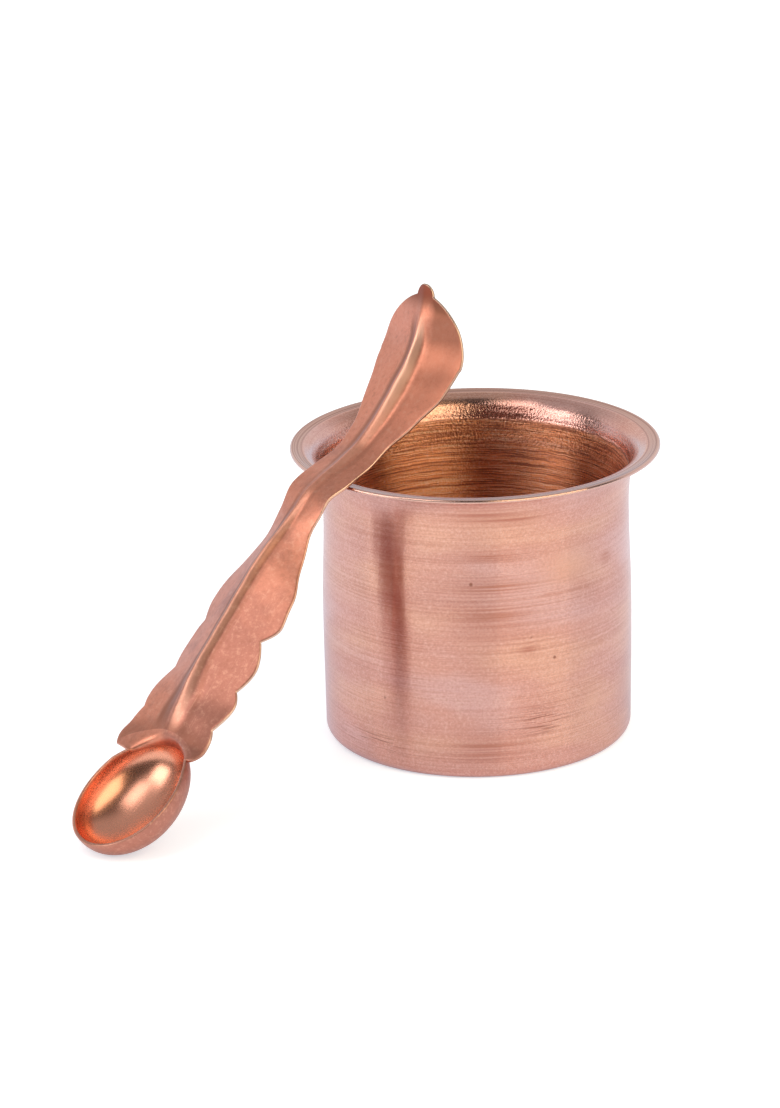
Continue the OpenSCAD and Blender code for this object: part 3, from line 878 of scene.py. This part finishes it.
def pale_table():
    """Matt white that adds some light of its own where the camera or a reflection looks at it.

    In reflections this light is strongest at the left and bluish at the back.
    """
    material = bpy.data.materials.new("pale_table")
    material.use_nodes = True
    shader = material.node_tree.nodes["Principled BSDF"]
    shader.inputs["Base Color"].default_value = table_colour
    shader.inputs["Roughness"].default_value = 1
    shader.inputs["Specular IOR Level"].default_value = 0
    shader.inputs["Emission Strength"].default_value = 1
    start = Shade(material.node_tree)
    seen, mirrored = looking_rays(start)
    place = start.node("ShaderNodeTexCoord", output="Object")
    side = place.node("ShaderNodeSeparateXYZ", None, {0: place})
    front_glow = side.step(*left_to_right).tint(left_glow, right_glow)
    glow = mirrored.tint(no_glow, side.also(1).step(*front_to_back).tint(front_glow, back_glow))
    glow = seen.tint(glow, table_white)
    glow.tree.links.new(glow.socket, shader.inputs["Emission Color"])
    return material


table_mesh = bpy.data.meshes.new("table")
table_mesh.from_pydata([(-table_reach, -table_reach, 0), (table_reach, -table_reach, 0),
                        (table_reach, table_reach, 0), (-table_reach, table_reach, 0)], [], [(0, 1, 2, 3)])
table_mesh.materials.append(pale_table())
table = bpy.data.objects.new("table", table_mesh)
bpy.context.scene.collection.objects.link(table)

# How bright the parts of the room are. The pairs bound a direction's share to the side, back or top, from
# none to full.
room_fill = 0.7
front_dark = 0.06
room_grey = 0.84
wall_turn = (0.05, 0.4)
wall_top = (0.4, 0.85)
wall_loss = 0.6
left_turn = (-0.2, -0.45)
left_rise = (0.56, 0.7)
left_share = 0.5
overhead_rise = (0.8, 1.05)
overhead_share = 0.5
sweep_turn = (0, 0.35)
sweep_top = (0.3, 0.08)
sweep_white = 0.97
sweep_tint = (0.78, 0.98, 1.2, 1)
plain_white = (1, 1, 1, 1)


def white_room():
    """World that the camera sees as white.

    Reflections see a cool white sweep of paper low down at the back, a grey wall above it that darkens
    upwards, some light high on the left and overhead, and a dark place where the camera stands. Other
    rays get an even fill.
    """
    world = bpy.data.worlds.new("white_room")
    world.use_nodes = True
    bpy.context.scene.world = world
    background = world.node_tree.nodes["Background"]
    start = Shade(world.node_tree)
    way = start.node("ShaderNodeTexCoord", output="Generated")
    side = way.node("ShaderNodeSeparateXYZ", None, {0: way})
    back, high = side.also(1), side.also(2)
    seen, mirrored = looking_rays(start)
    sweep = back.step(*sweep_turn) * high.step(*sweep_top)
    wall = back.step(*wall_turn) * (1 - high.step(*wall_top) * wall_loss)
    left_high = side.step(*left_turn) * high.step(*left_rise) * left_share
    overhead = (high + back).step(*overhead_rise) * overhead_share
    lit = start.math("MAXIMUM", wall, start.math("MAXIMUM", left_high, overhead))
    room = front_dark + lit * (room_grey - front_dark)
    room = room + sweep * (sweep_white - room)
    strength = room_fill + mirrored * (room - room_fill)
    strength = strength + seen * (1 - strength)
    colour = (sweep * mirrored).tint(plain_white, sweep_tint)
    world.node_tree.links.new(strength.socket, background.inputs["Strength"])
    world.node_tree.links.new(colour.socket, background.inputs["Color"])


white_room()

lamp_aim = np.array([0, 0, 0.04])
lamp_distance = 1.4
lamp_white = (1, 0.96, 0.92)
lamp_gold = (1, 0.88, 0.62)


def soft_lamp(name, azimuth, elevation, size, power, colour):
    """Area lamp of a width and height that faces the aim from an azimuth, 0 at the back, and an elevation."""
    azimuth, elevation = np.radians([azimuth, elevation])
    level = np.array([np.sin(azimuth), np.cos(azimuth), 0])
    back = level * np.cos(elevation) + np.array([0, 0, np.sin(elevation)])
    side = np.cross([0, 0, 1], back)
    side /= np.linalg.norm(side)
    lamp = bpy.data.lights.new(name, "AREA")
    lamp.shape = "RECTANGLE"
    lamp.size, lamp.size_y = size
    lamp.energy = power
    lamp.color = colour
    holder = bpy.data.objects.new(name, lamp)
    holder.matrix_world = Matrix(np.column_stack([side, np.cross(back, side), back]).tolist()).to_4x4()
    holder.matrix_world.translation = lamp_aim + lamp_distance * back
    bpy.context.scene.collection.objects.link(holder)


soft_lamp("left_lamp", -113, 25, (0.80, 0.60), 5.0, lamp_white)
soft_lamp("middle_lamp", -135, 56, (0.62, 0.66), 2.8, lamp_white)
soft_lamp("right_lamp", 136, 33, (1.4, 1.05), 11, lamp_gold)

# Camera
# A long lens in front of the cup, looking a little down and a touch to the left, as in the picture.
camera_place = (0, -0.9, 0.3531)
look_down = np.radians(19.30)
look_left = np.radians(1.14)
camera_roll = np.radians(-1.16)
camera_lens = 149.4
film_height = 36
nearest_seen = 0.01

ahead = np.array([-np.sin(look_left), np.cos(look_left), 0])
right = np.array([np.cos(look_left), np.sin(look_left), 0])
upward = np.array([0, 0, np.cos(look_down)]) + ahead * np.sin(look_down)
ahead = ahead * np.cos(look_down) - np.array([0, 0, np.sin(look_down)])
right, upward = (right * np.cos(camera_roll) + upward * np.sin(camera_roll),
                 upward * np.cos(camera_roll) - right * np.sin(camera_roll))
camera_data = bpy.data.cameras.new("camera")
camera_data.sensor_fit = "VERTICAL"
camera_data.sensor_height = film_height
camera_data.lens = camera_lens
camera_data.clip_start = nearest_seen
camera = bpy.data.objects.new("camera", camera_data)
camera.matrix_world = Matrix(np.column_stack([right, upward, -ahead]).tolist()).to_4x4()
camera.matrix_world.translation = camera_place
bpy.context.scene.collection.objects.link(camera)
bpy.context.scene.camera = camera
bpy.context.scene.view_settings.view_transform = "Standard"
